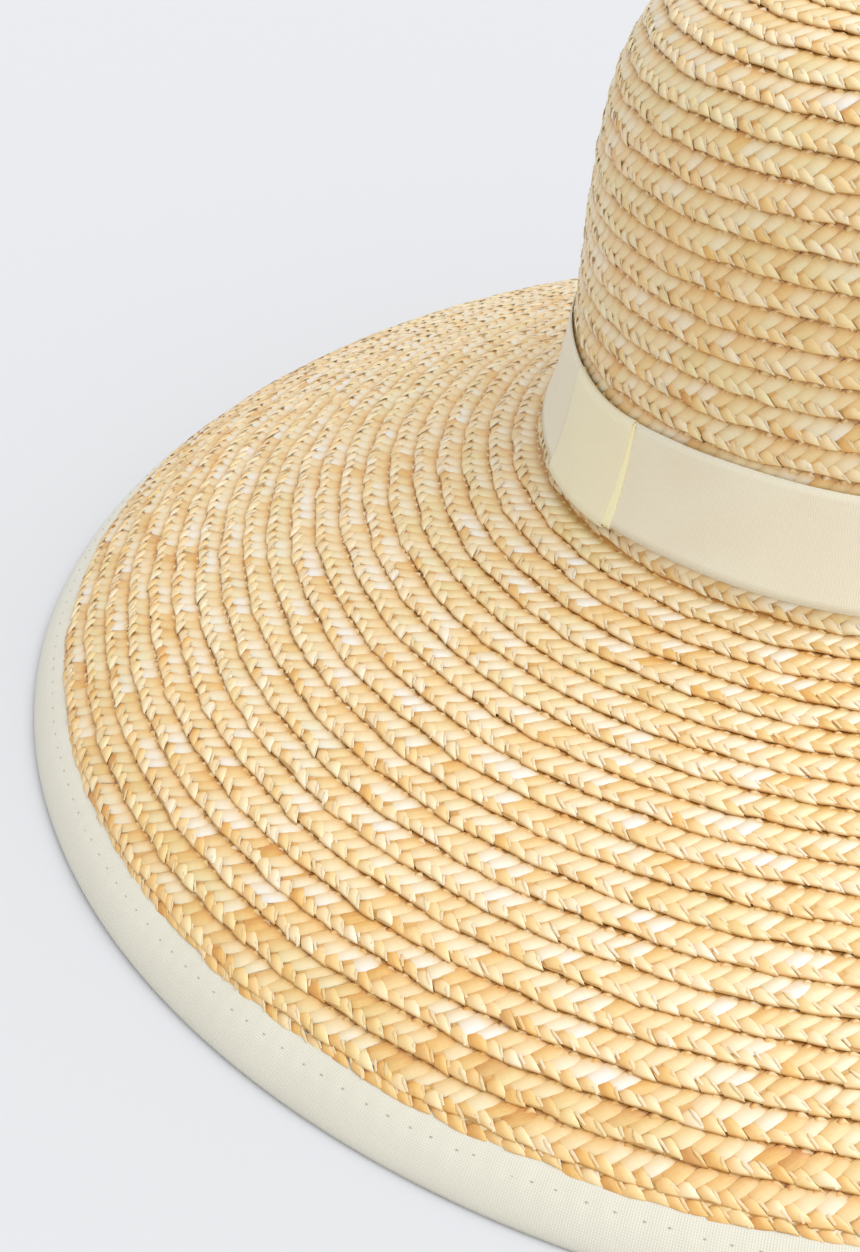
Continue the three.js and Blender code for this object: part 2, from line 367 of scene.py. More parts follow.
def straw_material():
    """Waxy flattened stems: a soft coat over fibres that change the tone and the gloss a little."""
    material, tree = new_material("split_wheat_straw_plaited")
    tone = add_node(tree, "ShaderNodeAttribute", {"attribute_name": "tone"})
    painted_shade = add_node(tree, "ShaderNodeAttribute", {"attribute_name": "painted_shade"})
    strand = add_node(tree, "ShaderNodeAttribute", {"attribute_name": "strand"})
    along = add_node(tree, "ShaderNodeVectorMath", {"operation": "MULTIPLY"},
                     {1: (1 / FIBRE_SPACING, 1 / FIBRE_LENGTH, 1.0)}, {0: strand.outputs["Vector"]})
    fibres = add_node(tree, "ShaderNodeTexNoise", None, {"Scale": 1.0, "Detail": 3.0},
                      {"Vector": along.outputs[0]})
    blotch = add_node(tree, "ShaderNodeTexNoise", None, {"Scale": 1 / BLOTCH_SIZE, "Detail": 2.0},
                      {"Vector": strand.outputs["Vector"]})
    streak = add_node(tree, "ShaderNodeMath", {"operation": "MULTIPLY_ADD"},
                      {1: STREAK_SIZE, 2: -STREAK_SIZE / 2}, {0: fibres.outputs["Fac"]})
    varied = add_node(tree, "ShaderNodeMath", {"operation": "ADD"}, None,
                      {0: tone.outputs["Fac"], 1: streak.outputs[0]})
    total = add_node(tree, "ShaderNodeMath", {"operation": "MULTIPLY_ADD"}, {1: BLOTCH_SHARE},
                     {0: blotch.outputs["Fac"], 2: varied.outputs[0]})
    centred = add_node(tree, "ShaderNodeMath", {"operation": "SUBTRACT"}, {1: BLOTCH_SHARE / 2},
                       {0: total.outputs[0]})
    ramp = add_node(tree, "ShaderNodeValToRGB", None, None, {"Fac": centred.outputs[0]})
    set_stops(ramp.color_ramp.elements, STRAW_TONES)
    # Painted shade: the second value picks a brown from this ramp, which is multiplied into the straw's
    # colour.
    painted_shades = add_node(tree, "ShaderNodeValToRGB", None, None, {"Fac": painted_shade.outputs["Fac"]})
    set_stops(painted_shades.color_ramp.elements, STRAW_PAINTED_SHADES)
    green = add_node(tree, "ShaderNodeAttribute", {"attribute_name": "green"})
    green_share = add_node(tree, "ShaderNodeMath", {"operation": "MULTIPLY"}, {1: GREEN_SHARE},
                           {0: green.outputs["Fac"]})
    greened = add_node(tree, "ShaderNodeMix", {"data_type": "RGBA"}, {"B": linear(STRAW_GREEN)},
                       {"Factor": green_share.outputs[0], "A": ramp.outputs["Color"]})
    shaded = add_node(tree, "ShaderNodeMix", {"data_type": "RGBA", "blend_type": "MULTIPLY"},
                      {"Factor": 1.0}, {"A": greened.outputs["Result"], "B": painted_shades.outputs["Color"]})
    bump = add_node(tree, "ShaderNodeBump", None, {"Strength": 0.5, "Distance": FIBRE_RELIEF * MM},
                    {"Height": fibres.outputs["Fac"]})
    rough = add_node(tree, "ShaderNodeMath", {"operation": "MULTIPLY_ADD"}, {1: 0.3, 2: 0.22},
                     {0: fibres.outputs["Fac"]})
    shader = add_node(tree, "ShaderNodeBsdfPrincipled", None,
                      {"IOR": 1.5, "Metallic": 0.0, "Coat Weight": 0.4, "Coat Roughness": 0.3},
                      {"Base Color": shaded.outputs["Result"], "Normal": bump.outputs[0],
                       "Roughness": rough.outputs[0]})
    add_node(tree, "ShaderNodeOutputMaterial", None, None, {"Surface": shader.outputs[0]})
    return material


straw = straw_material()
print("straw:", straw.name, "with fibres", FIBRE_SPACING, "mm apart")

# %% [markdown]
# ## Grosgrain
# Grosgrain is woven from fine yarn over thicker cross threads, which gives it ribs from edge to edge. It
# is matt with a faint sheen, and each rib catches a little light. The ribs could be modelled, but at half
# a millimetre two sine waves in a bump and in a painted shade between the ribs show the same. The fuzz of
# single fibres would be too fine to show, so it is drawn at a third of a millimetre. The band, the keeper,
# the layer under the keeper and the binding are the same cloth in four creams, and the grey sewing thread
# has the same matt yarn look.

# %% Woven ribbon and thread
RIB_SPACING = 0.56
WEFT_SPACING = 0.5
YARN_SIZE = 1 / 3
MOTTLE_SIZE = 20.0
WEAVE_RELIEF = 0.07
RIB_SHADE = -0.17
MOTTLE_SHARE = 0.4


def ribbon_material(name, colour, shade):
    """Matt ribbed cloth: the shade colour is painted shade between the ribs, and uneven colour in wide soft
    mottles.
    """
    material, tree = new_material(name)
    cloth = add_node(tree, "ShaderNodeAttribute", {"attribute_name": "cloth"})
    parts = add_node(tree, "ShaderNodeSeparateXYZ", None, None, {0: cloth.outputs["Vector"]})
    turn = add_node(tree, "ShaderNodeMath", {"operation": "MULTIPLY"}, {1: 2 * math.pi / RIB_SPACING},
                    {0: parts.outputs[0]})
    ribs = add_node(tree, "ShaderNodeMath", {"operation": "SINE"}, None, {0: turn.outputs[0]})
    cross = add_node(tree, "ShaderNodeMath", {"operation": "MULTIPLY"}, {1: 2 * math.pi / WEFT_SPACING},
                     {0: parts.outputs[1]})
    weft = add_node(tree, "ShaderNodeMath", {"operation": "SINE"}, None, {0: cross.outputs[0]})
    weave = add_node(tree, "ShaderNodeMath", {"operation": "MULTIPLY_ADD"}, {1: 0.5},
                     {0: weft.outputs[0], 2: ribs.outputs[0]})
    yarn = add_node(tree, "ShaderNodeTexNoise", None, {"Scale": 1 / YARN_SIZE, "Detail": 4.0},
                    {"Vector": cloth.outputs["Vector"]})
    soft = add_node(tree, "ShaderNodeTexNoise", None, {"Scale": 1 / MOTTLE_SIZE, "Detail": 2.0},
                    {"Vector": cloth.outputs["Vector"]})
    height = add_node(tree, "ShaderNodeMath", {"operation": "MULTIPLY_ADD"}, {1: 0.5},
                      {0: yarn.outputs["Fac"], 2: weave.outputs[0]})
    # Painted shade: darker between the ribs, lighter on them.
    rib_shade = add_node(tree, "ShaderNodeMath", {"operation": "MULTIPLY_ADD"}, {1: RIB_SHADE, 2: 0.1},
                         {0: weave.outputs[0]})
    blend = add_node(tree, "ShaderNodeMath", {"operation": "MULTIPLY_ADD"}, {1: MOTTLE_SHARE},
                     {0: soft.outputs["Fac"], 2: rib_shade.outputs[0]})
    tint = add_node(tree, "ShaderNodeMix", {"data_type": "RGBA"}, {"A": linear(colour), "B": linear(shade)},
                    {"Factor": blend.outputs[0]})
    bump = add_node(tree, "ShaderNodeBump", None, {"Strength": 0.4, "Distance": WEAVE_RELIEF * MM},
                    {"Height": height.outputs[0]})
    shader = add_node(tree, "ShaderNodeBsdfPrincipled", None,
                      {"IOR": 1.5, "Metallic": 0.0, "Roughness": 0.7,
                       "Sheen Weight": 0.2, "Sheen Roughness": 0.5},
                      {"Base Color": tint.outputs["Result"], "Normal": bump.outputs[0]})
    add_node(tree, "ShaderNodeOutputMaterial", None, None, {"Surface": shader.outputs[0]})
    return material


# The second colour of each cloth is its painted shade between the ribs and the colour of its mottles.
ribbon = ribbon_material("cream_grosgrain_ribbon", "#EBE4CC", "#D7CCB0")
keeper_ribbon = ribbon_material("pale_yellow_grosgrain_ribbon", "#EDE6C8", "#E1D6AC")
binding_ribbon = ribbon_material("grey_cream_grosgrain_ribbon", "#DAD7C7", "#C9C5B4")
underlay_ribbon = ribbon_material("yellow_grosgrain_underlay", "#F5EEC6", "#EAE1AC")
thread = ribbon_material("grey_sewing_thread", "#B3AE9E", "#9B9686")
for cloth_kind in (ribbon, keeper_ribbon, binding_ribbon, underlay_ribbon, thread):
    print("cloth:", cloth_kind.name)

# %% [markdown]
# ## Strand by strand
# In the photo each row shows the same pattern: a column of large floats that lean to the right, and below
# it a column of smaller floats that lean to the left, some with a raised rim, painted pale as a highlight.
# At the seam, small bits of the strands below look out. One float is a flat pillow that dips under its
# neighbours. The floats lie 3.95 mm apart along the plait, and with seven strands the same one comes back
# at every seventh float. A stem is golden at its foot and nearly white at its tip. The stems of the seven
# strands start one after the other, so white floats come in groups of two to four, each group whiter to
# the right. The brim is whiter than the crown, and its last rows are the most golden, so two short tables
# say that turn by turn.

# %% Where the floats lie and what tone each strand has
FLOAT_SPACING = 3.95
STRANDS = 7
STEM_FLOATS = 66
STEM_TONE = 0.42
TIP_START = 0.25
TIP_LENGTH = 0.6
TIP_TONE = 1.02
TONE_STRAY = 0.075
WHITE_AT_TURNS = [(-20, 0.26), (-6, 0.3), (1, 0.4), (6, 0.54), (16, 0.7), (19, 0.56), (21, 0.45)]
GOLD_AT_TURNS = [(-20, 0.0), (-1, 0.0), (2, -0.02), (8, -0.02), (15, -0.02), (18.5, 0.11), (21, 0.2)]
rng = np.random.default_rng(11)
float_count = int(plait_way[-1] / FLOAT_SPACING)
float_way = (np.arange(float_count) + 0.5) * FLOAT_SPACING
float_turns = np.interp(float_way, plait_way, turn_steps)


def slow_noise(step):
    """A smooth random value for every float, with a new value after each so many floats."""
    knots = rng.uniform(-1, 1, float_count // step + 3)
    place = np.arange(float_count) / step
    share = place % 1
    share = share * share * (3 - 2 * share)
    return knots[place.astype(int)] * (1 - share) + knots[place.astype(int) + 1] * share


stem_drift = 0.35 * slow_noise(90) + 0.15 * slow_noise(23)
whiteness = np.interp(float_turns, *zip(*WHITE_AT_TURNS))
whiteness = np.clip(whiteness + 0.3 * slow_noise(40), 0.1, 0.95)
goldenness = np.interp(float_turns, *zip(*GOLD_AT_TURNS))
stem_tones = rng.normal(STEM_TONE, 0.07, float_count)


def strand_tone(ahead, tip_share):
    """The tone of the strand that lies so many floats ahead, for every float."""
    index = np.arange(float_count) + ahead
    age = index / STEM_FLOATS - (index % STRANDS) / STRANDS + stem_drift + 2
    tip = tip_share * np.clip((age % 1 - TIP_START) / TIP_LENGTH, 0, 1) ** 1.3
    base = stem_tones[np.floor(age).astype(int) * STRANDS + index % STRANDS]
    tone = base - goldenness
    tone = tone + (TIP_TONE - tone) * tip * whiteness
    return tone + rng.normal(0, TONE_STRAY, float_count)


green_drift = 0.55 * slow_noise(14) + 0.4 * slow_noise(5) + np.interp(float_turns, [-3, 3], [0.3, 0])
print(float_count, "floats in each column")

# %% [markdown]
# ## The shape of a float
# The strands cross in a herringbone: the floats of the upper column lean like a slash, those of the lower
# column lean like a backslash, and each lies like a shingle over its right neighbour. A table gives each
# kind of float its stations from one end to the other. A station's columns are: right and out, where its
# middle lies; half right and half out, the way from its middle to its right side; low, high and puff, how
# high its left side, its right side and the swelling between them lie; and shade, how much painted shade
# it gets.

# %% Stations of each kind of float, in millimetres
RISING = [
    (1.25, -0.20, 1.20, 0.80, -0.36, -0.34, 0.00, 0.62),
    (0.52, 0.62, 1.28, 0.88, -0.13, -0.05, 0.09, 0.28),
    (-0.30, 1.42, 1.34, 0.94, -0.11, 0.00, 0.17, 0.06),
    (-1.60, 2.54, 1.34, 0.96, -0.12, 0.00, 0.20, 0.00),
    (-2.95, 3.72, 1.30, 0.93, -0.13, -0.05, 0.11, 0.03),
    (-3.50, 4.20, 1.20, 0.86, -0.26, -0.22, 0.00, 0.24),
]
FALLING = [
    (-0.60, 4.00, 1.00, -0.76, -0.26, -0.18, 0.00, 0.22),
    (-0.05, 4.50, 1.22, -0.80, -0.12, 0.00, 0.09, 0.06),
    (0.95, 5.35, 1.60, -0.50, -0.11, 0.04, 0.15, 0.00),
    (1.75, 6.12, 1.95, -0.15, -0.15, -0.02, 0.11, 0.00),
    (2.10, 6.52, 2.10, 0.00, -0.44, -0.40, 0.04, 0.32),
    (2.10, 6.42, 2.10, 0.00, -0.92, -0.92, 0.00, 1.00),
]
SEAM_BITS = [
    (-0.85, -0.30, 0.55, -0.62, -0.20, -0.24, 0.00, 1.00),
    (-0.05, 0.34, 0.55, -0.65, 0.00, -0.04, 0.08, 0.10),
    (1.50, 1.45, 0.50, -0.60, -0.40, -0.40, 0.00, 0.30),
]
RAISED_RIMS = [
    (1.10, 3.75, 0.12, -0.12, -0.20, -0.20, 0.00, 0.30),
    (2.25, 4.75, 0.24, -0.22, 0.14, 0.22, 0.00, 0.00),
    (3.65, 6.05, 0.16, -0.14, -0.06, -0.02, 0.00, 0.00),
]
UNDER_RISING = [
    (1.25, -2.25, 1.00, 0.70, -0.86, -0.86, 0.00, 0.45),
    (0.20, -1.30, 1.32, 0.92, -1.00, -1.14, 0.00, 0.05),
    (-1.60, 0.50, 1.32, 0.92, -1.00, -1.14, 0.00, 0.05),
    (-2.40, 1.25, 0.95, 0.70, -0.86, -0.86, 0.00, 0.40),
]
UNDER_FALLING = [
    (-1.00, 1.10, 0.90, -0.70, -0.86, -0.90, 0.00, 0.40),
    (0.20, 2.15, 1.30, -0.80, -1.00, -1.12, 0.00, 0.05),
    (2.30, 4.25, 1.60, -0.40, -1.00, -1.10, 0.00, 0.05),
]
RISING_SIDES = (-1, -0.15, 0.82, 1)
FALLING_SIDES = (-1, -0.2, 0.8, 1)
FLAT_SIDES = (-1, 0, 1)
SLIVER_SIDES = (-1, 1)
print(len(RISING), "stations for a rising float and", len(FALLING), "for a falling one")

# %% [markdown]
# ## A whole column at once
# All floats of a column have the same stations, so numpy works them out together. An array modifier could
# repeat one float too, but real straws differ. So each gets small random changes of size, place, lean and
# height. The left side of a float lies in its neighbour's shadow, so it gets painted shade, and its right
# side gets a painted highlight. The right side of an outer float rolls down on to its neighbour, or else
# one would look under the shingle into a dark hole.

# %% One column of floats
EDGE_ROLL = 0.26
# Painted shade on a float's left side, and a painted highlight that lightens its right side.
LEFT_SHADE = 0.38
EDGE_PAINTED_HIGHLIGHT = 0.10
PILLOW_POWER = 3.4
SIZE_STRAY = 0.1
LEAN_STRAY = 0.11
SHIFT_STRAY = 0.2
REACH_STRAY = 0.14
PUFF_STRAY = 0.3
RISE_STRAY = 0.03
GRAIN_STEP = 3.7


def float_column(chosen, stations, sides, tones, stray=1.0, faces_up=True, edge_roll=0.0):
    """All floats of one column as arrays of points and values."""
    table = (np.array(column)[None, None, :] for column in zip(*stations))
    right, out, half_right, half_out, low, high, puff, shade = table
    side = np.array(sides)[None, :, None]
    random = np.clip(rng.normal(0, 1, (len(chosen), 6, 1, 1)), -2, 2)
    size = 1 + SIZE_STRAY * random[:, 0]
    swell = 1 - np.abs(side) ** PILLOW_POWER
    lean = LEAN_STRAY * stray * random[:, 5] * (out - out.mean())
    shift = right + lean + side * half_right * size + SHIFT_STRAY * stray * random[:, 1]
    reach = out + side * half_out * size + REACH_STRAY * stray * random[:, 2] * np.clip(out, 0, 1)
    rise = low + (high - low) * (side + 1) / 2 + puff * swell * (1 + PUFF_STRAY * random[:, 3])
    rise = rise + RISE_STRAY * stray ** 2 * random[:, 4] - edge_roll * (side == 1)
    points = on_plait(float_turns[chosen][:, None, None], shift, reach, rise)
    length = math.hypot(np.ptp(right), np.ptp(out))
    width = 2 * math.hypot(half_right.max(), np.abs(half_out).max())
    share = np.linspace(0, 1, len(stations))[None, None, :]
    parts = (side * width / 2, share * length, chosen[:, None, None] * GRAIN_STEP)
    strand = np.stack([part + 0 * rise for part in parts], axis=-1)
    # Painted shade at the stations' ends and towards the left side, and a painted highlight along the right
    # side.
    painted_shade = shade + LEFT_SHADE * ((1 - side) / 2) ** 1.5 + 0 * rise
    tone = tones[chosen][:, None, None] + EDGE_PAINTED_HIGHLIGHT * np.clip(side, 0, 1) ** 3 + 0 * rise
    green = green_drift[chosen][:, None, None] + 0.3 * random[:, 4] + 0 * rise
    quads = grid_faces(len(sides), len(stations))
    first, second, third = (points[0].reshape(-1, 3)[quads[len(quads) // 2, k]] for k in (0, 1, 2))
    outward = np.cross(second - first, third - second) @ (first * [1, 1, 0] + [0, 0, HEAD_RADIUS])
    quads = quads if (outward > 0) == faces_up else quads[:, ::-1]
    values = {"tone": tone, "painted_shade": np.clip(painted_shade, 0, 1), "green": np.clip(green, 0, 1), "strand": strand}
    return {"points": points, "quads": quads, "values": values}


# %% Several columns as one piece
def joined_piece(name, columns):
    """Several columns of floats as one object."""
    quads = []
    base = 0
    for column in columns:
        count, rows, steps = column["points"].shape[:3]
        starts = base + rows * steps * np.arange(count)
        quads.append((column["quads"][None] + starts[:, None, None]).reshape(-1, 4))
        base += rows * steps * count
    values = {}
    for key, value in columns[0]["values"].items():
        size = 3 if key == "strand" else 1
        values[key] = np.vstack([column["values"][key].reshape(-1, size) for column in columns])
    points = np.vstack([column["points"].reshape(-1, 3) for column in columns])
    return new_piece(name, points, np.vstack(quads), values, straw)


# %% [markdown]
# ## The outer and the inner floats
# Four columns make the outside of a row: the bits in its seam, the rising floats, the falling floats and
# their raised rims, painted pale as a highlight. Seen from inside the hat a row is plainer, and two
# columns with straight sides will do. The rows that the ribbon band hides are left out. The brim is split
# by turns into three pieces, so that none holds too many faces.

# %% Floats of the crown and the brim
BAND_LIFT = 4.5
BAND_WIDTH = 26.4
BAND_COVER = 3.0
BRIM_SPLIT_TURNS = (9, 16)
tone_rising = strand_tone(0, 1.0)
tone_falling = strand_tone(3, 0.3) - 0.02
tone_seam = strand_tone(2, 0.3) - 0.04


def outer_columns(chosen):
    """The columns of a row, from its inner seam to its outer edge."""
    return [
        float_column(chosen, SEAM_BITS, FLAT_SIDES, tone_seam),
        float_column(chosen, RISING, RISING_SIDES, tone_rising, edge_roll=EDGE_ROLL),
        float_column(chosen, FALLING, FALLING_SIDES, tone_falling, 1.4, edge_roll=EDGE_ROLL),
        # The raised rims are painted lighter than their floats, as a painted highlight.
        float_column(chosen, RAISED_RIMS, SLIVER_SIDES, tone_falling + 0.26, 2.0),
    ]


def inner_columns(chosen):
    """The two columns that show from inside the hat."""
    return [
        float_column(chosen, UNDER_RISING, SLIVER_SIDES, tone_falling, 1.0, False),
        float_column(chosen, UNDER_FALLING, SLIVER_SIDES, tone_rising, 1.0, False),
    ]


edge_height = CROWN_LENGTH - row_edge(float_turns)
hidden_from = BAND_LIFT - BAND_COVER
hidden_to = BAND_LIFT + BAND_WIDTH - ROW_WIDTH - BAND_COVER
under_band = (edge_height > hidden_from) & (edge_height < hidden_to)
float_index = np.arange(float_count)
on_crown = float_index[~under_band & (float_turns < 0)]
near_crown = float_index[~under_band & (float_turns >= 0) & (float_turns < BRIM_SPLIT_TURNS[0])]
between = float_index[(float_turns >= BRIM_SPLIT_TURNS[0]) & (float_turns < BRIM_SPLIT_TURNS[1])]
near_rim = float_index[float_turns >= BRIM_SPLIT_TURNS[1]]
crown_plait = joined_piece("crown_plait", outer_columns(on_crown))
brim_plait_inner = joined_piece("brim_plait_inner", outer_columns(near_crown))
brim_plait_middle = joined_piece("brim_plait_middle", outer_columns(between))
brim_plait_outer = joined_piece("brim_plait_outer", outer_columns(near_rim))
crown_inside = joined_piece("crown_plait_inside", inner_columns(float_index[float_turns < 0]))
brim_underside = joined_piece("brim_plait_underside", inner_columns(float_index[float_turns >= 0]))

# %% [markdown]
# ## The body of the plait
# Under the floats runs the plait's own thickness, a long thin strip. Its outer edge stands on the next row
# and its inner edge is sewn under the row before, which leaves the slot that reads as a dark line, and the
# strip is painted darker there and under the floats as painted shade. It is one small outline swept along
# the spiral. A curve with a bevel could do that too, but here the outline has to follow the hat's own slope
# and oval, so it goes through the same function as the floats.

# %% The strip under the floats
STRIP_OUTLINE = [
    (-PLAIT_HIDDEN, -0.45), (0.4, -0.27), (3.2, -0.19), (6.3, -0.3),
    (6.3, -0.8), (3.2, -0.95), (0.4, -0.95), (-PLAIT_HIDDEN, -0.85),
]
# Painted shade for each point of the outline, darkest at the lower corner of its outer edge, where the
# seam's slot lies.
STRIP_SHADE = [0.8, 0.55, 0.4, 0.45, 1.0, 0.5, 0.5, 0.7]
STRIP_STEPS_PER_TURN = 90
STRIP_TONE = 0.4
STRIP_GRAIN = 400


def plait_strip(name, first, last):
    """The body of the plait from one turn of the spiral to another."""
    steps = int((last - first) * STRIP_STEPS_PER_TURN)
    turns = np.linspace(first, last, steps)[:, None]
    out, lift = (np.array(column)[None] for column in zip(*STRIP_OUTLINE))
    points = on_plait(turns, 0 * out, out, lift + 0 * turns)
    tone = np.full(points.shape[:2], STRIP_TONE)
    painted_shade = np.array(STRIP_SHADE)[None] + 0 * tone
    strand = np.stack([out + 0 * turns, turns * STRIP_GRAIN + 0 * out, 0 * tone], axis=-1)
    values = {"tone": tone, "painted_shade": painted_shade, "green": 0 * tone, "strand": strand}
    quads = facing_out(points, tube_faces(steps, len(STRIP_OUTLINE), False))
    return new_piece(name, points, quads, values, straw)


crown_strip = plait_strip("crown_plait_body", FIRST_TURN, 0.0)

# %% [markdown]
# ## The knot in the middle
# The maker rolls the first end of the plait into a small flat knot, and the spiral starts round it. Seen
# from above it is a low dome with a slanting ridge for each strand. A ring of points on the dome is lifted
# by a cosine wave, which is plenty for something seven millimetres wide.

# %% The knot
KNOT_RADIUS = 3.6
KNOT_HEIGHT = 1.15
KNOT_RINGS = 6
KNOT_SPOKES = 28
KNOT_RIDGE = 0.09


def crown_knot():
    """The small knot in the middle of the crown, where the plait starts."""
    away = np.linspace(0.0, KNOT_RADIUS, KNOT_RINGS + 1)[:, None]
    angles = np.linspace(0, 2 * math.pi, KNOT_SPOKES + 1)[None, :-1]
    ridge = np.cos(STRANDS * angles + 1.5 * away) * np.minimum(away, 1.0)
    lift = KNOT_HEIGHT * (1 - (away / KNOT_RADIUS) ** 2.5) + KNOT_RIDGE * ridge
    points = on_hat(away + 0 * angles, angles + 0 * away, lift)
    # Painted light: the ridges are painted lighter, the hollows between them darker, and the dome gets
    # painted shade towards its edge.
    painted_shade = 0.25 - 0.25 * ridge + 0.5 * (away / KNOT_RADIUS) ** 6
    strand = np.stack([angles * 3 + 0 * away, away + 0 * angles, 0 * lift], axis=-1)
    tone = STRIP_TONE + 0.1 * ridge
    values = {"tone": tone, "painted_shade": np.clip(painted_shade, 0, 1), "green": 0 * lift, "strand": strand}
    i, j = np.meshgrid(np.arange(KNOT_RINGS), np.arange(KNOT_SPOKES), indexing="ij")
    inner = i.reshape(-1) * KNOT_SPOKES
    outer = inner + KNOT_SPOKES
    here = j.reshape(-1)
    after = (here + 1) % KNOT_SPOKES
    quads = np.stack([inner + here, outer + here, outer + after, inner + after], axis=1)
    return new_piece("crown_knot", points, quads, values, straw)


knot = crown_knot()
brim_strip = plait_strip("brim_plait_body", 0.0, LAST_TURN)

# %% [markdown]
# ## The ribbons
# The band is one length of ribbon laid round the crown. It is a closed strip, just under half a millimetre
# thick, that follows the same side view as the straw. Cloth simulation isn't needed for ribbons that are
# pulled tight, so small waves are added where the real one puckers. The keeper pulls the band down and
# lifts it off the crown a little. Towards its upper edge, and on the left, the band lies snug on the
# straw.

# %% Ribbon helpers
RIBBON_THICKNESS = 0.45
BAND_FACE = ROW_STEP + 0.7


def near(value, middle, spread):
    """A smooth bump: 1 at the middle, fading to 0 over the spread."""
    return np.exp(-((value - middle) / spread) ** 2)


def ribbon_outline(line, thickness):
    """The closed outline of a ribbon's section round its middle line, and the way along it."""
    line = np.array(line, float)
    slope = np.gradient(line, axis=0)
    slope /= np.linalg.norm(slope, axis=1)[:, None]
    offset = np.stack([-slope[:, 1], slope[:, 0]], axis=1) * thickness / 2
    way = length_along(line)
    return np.vstack([line + offset, (line - offset)[::-1]]), np.concatenate([way, way[::-1]])


def new_ribbon(name, outline, cloth, angles, lift_wave, material, closed, sag=0.0):
    """A ribbon section turned round the hat, with a wave added to its lift and a sag to its height."""
    way = CROWN_LENGTH + outline[None, :, 0] + sag
    lift = outline[None, :, 1] + lift_wave
    points = on_hat(way + 0 * lift, angles + 0 * lift, lift)
    cloth = np.stack([part + 0 * lift for part in cloth], axis=-1)
    quads = facing_out(points, tube_faces(len(lift), len(outline), closed))
    return new_piece(name, points, quads, {"cloth": cloth}, material)


# %% Ribbon band
BAND_RADIUS = 89.0
KEEPER_START = math.radians(208.2)
KEEPER_END = math.radians(226.4)
SAG_MIDDLE = math.radians(220)
SAG_SPREAD = math.radians(14)
SAG_DEPTH = 2.0
SWELL_MIDDLE = math.radians(212)
SWELL_SPREAD = math.radians(22)
CREASE_MIDDLE = math.radians(243)
CREASE_SPREAD = math.radians(12)
LEFT_MIDDLE = math.radians(190)
LEFT_SPREAD = math.radians(15)
BAND_STEPS = 540
BAND_HEIGHTS = 14


def keeper_sag(angles, share):
    """How far the band hangs down where the keeper pulls it, less at its lower edge."""
    return SAG_DEPTH * near(angles, SAG_MIDDLE, SAG_SPREAD) * (1 - 0.5 * share)


def keeper_swell(angles, share):
    """How far the band stands off the crown round the keeper."""
    return (0.4 + 0.8 * share) * near(angles, SWELL_MIDDLE, SWELL_SPREAD)


def ribbon_band():
    """The band: share runs from 0 at its upper edge to 1 at its lower edge."""
    angles = np.linspace(0, 2 * math.pi, BAND_STEPS, endpoint=False)[:, None]
    heights = np.linspace(BAND_LIFT + BAND_WIDTH, BAND_LIFT, BAND_HEIGHTS)
    outline, across = ribbon_outline([(-u, BAND_FACE) for u in heights], RIBBON_THICKNESS)
    share = across[None] / BAND_WIDTH
    wave = 0.14 * np.sin(9 * angles + 2 * share) * np.sin(5 * angles)
    wave = wave + 0.2 * near(share, 0, 0.12) * np.sin(7 * angles + 1.0) ** 2
    crease = 0.22 * near(angles, CREASE_MIDDLE, CREASE_SPREAD) * np.sin(9 * share + 14 * angles)
    snug = 0.3 * near(share, 0, 0.1) + 0.4 * near(angles, LEFT_MIDDLE, LEFT_SPREAD) * (1 - share)
    wave = wave + crease + keeper_swell(angles, share) - snug
    cloth = (angles * BAND_RADIUS, across[None], 0)
    return new_ribbon("ribbon_band", outline, cloth, angles, wave, ribbon, True, keeper_sag(angles, share))


band = ribbon_band()

# %% [markdown]
# ## The keeper and the layer under it
# A short length of a yellower ribbon is folded round both edges of the band, where the band's two ends
# meet. Beside it shows the narrow edge of a second, brighter layer. Both are sewn flat, so neither slides.
# One function makes both: a straight line across the band with a turn at each end, swept over a short
# angle. The lean lets their sides run a little aslant, as in the photo.

# %% Keeper over the band's join
KEEPER_ABOVE = 0.35
KEEPER_BELOW = 1.3
KEEPER_FACE = BAND_FACE + 1.0
KEEPER_LEAN = (math.radians(0.3), math.radians(1.2))
UNDERLAY_START = KEEPER_END - math.radians(6.5)
UNDERLAY_END = KEEPER_END + math.radians(0.9)
UNDERLAY_ABOVE = -0.2
UNDERLAY_BELOW = 0.4
UNDERLAY_FACE = BAND_FACE + 0.5
UNDERLAY_LEAN = (math.radians(1.2), math.radians(-0.2))
FOLD_SWELL = 0.22
SIDE_PRESS = 0.3


def folded_ribbon(name, start, end, face, above, below, leans, material):
    """A short ribbon over the band, folded round both of the band's edges."""
    angles = np.linspace(start, end, 40)[:, None]
    top = BAND_LIFT + BAND_WIDTH + above
    low = BAND_LIFT - below
    heights = np.linspace(top - 0.5, low + 0.5, 16)
    line = [(-top + 1.6, BAND_FACE - 0.5), (-top + 0.3, BAND_FACE - 0.4), (-top, BAND_FACE + 0.3)]
    line += [(-u, face) for u in heights]
    line += [(-low, BAND_FACE + 0.3), (-low - 0.3, BAND_FACE - 0.4), (-low - 1.6, BAND_FACE - 0.5)]
    outline, along = ribbon_outline(line, RIBBON_THICKNESS)
    share = np.clip((outline[None, :, 0] + top) / (top - low), 0, 1)
    across = (angles - start) / (end - start)
    lean = (leans[0] * (1 - across) + leans[1] * across) * (0.5 - share)
    fold = FOLD_SWELL * np.sin(math.pi * across) * np.sin(math.pi * share)
    fold = fold - SIDE_PRESS * np.abs(2 * across - 1) ** 6
    cloth = (angles * BAND_RADIUS, along[None], 0)
    wave = keeper_swell(angles, share) + fold
    sag = keeper_sag(angles + lean, share)
    return new_ribbon(name, outline, cloth, angles + lean, wave, material, False, sag)


